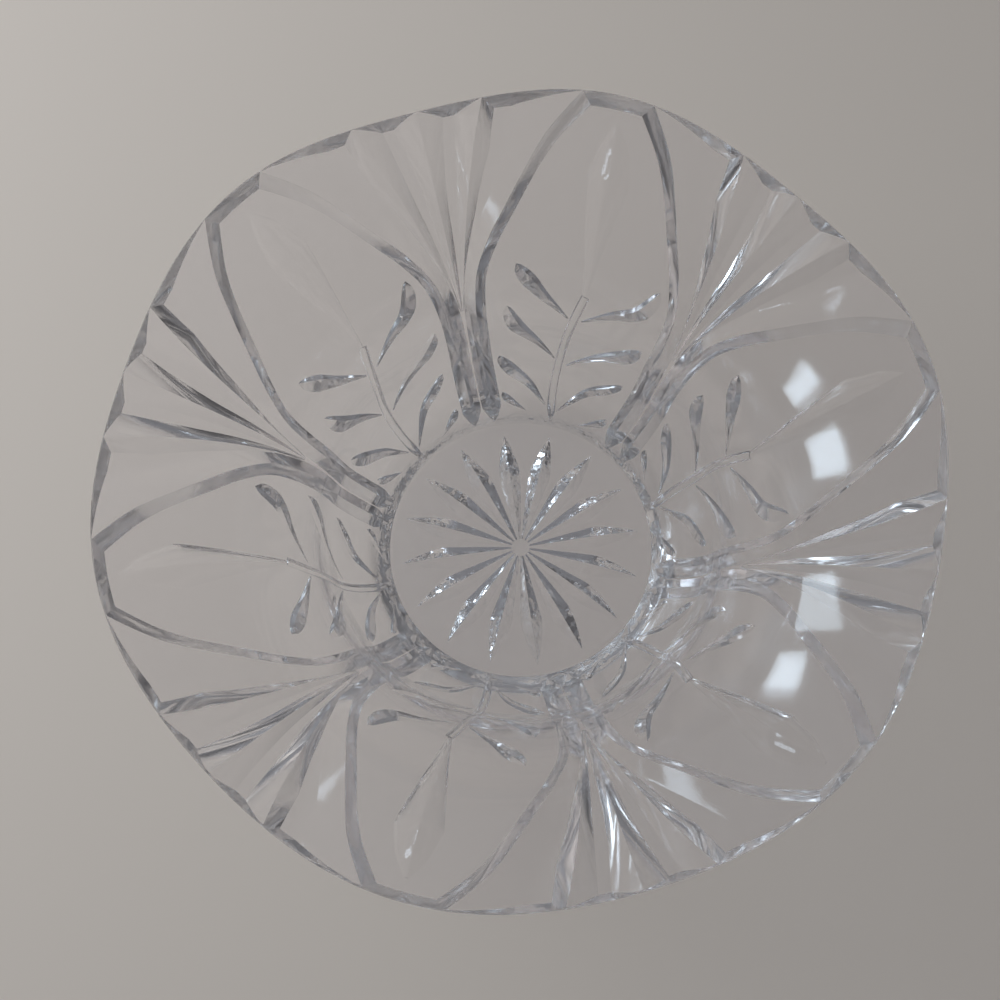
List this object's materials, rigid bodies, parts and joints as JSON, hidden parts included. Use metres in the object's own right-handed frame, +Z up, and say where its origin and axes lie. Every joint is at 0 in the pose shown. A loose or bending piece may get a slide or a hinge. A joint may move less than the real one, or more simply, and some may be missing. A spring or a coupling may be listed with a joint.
{
  "type": "crystal bowl",
  "caption": "Clear cut-crystal bowl with a flared, softly lobed rim, leaf panels and ray fans cut on the outside and a star-cut flat base.",
  "frame": {"origin": "centre of the flat underside, on the surface the bowl stands on", "axes": "+Z up along the bowl's axis, +Y through the middle of one leaf panel, +X through the middle of one fan"},
  "size_m": [0.2258, 0.23, 0.1],
  "materials": {
    "crystal": "clear lead crystal, pressed, cut and fire-polished"
  },
  "bodies": {
    "root": {"bowl": "crystal"}
  },
  "joints": []
}
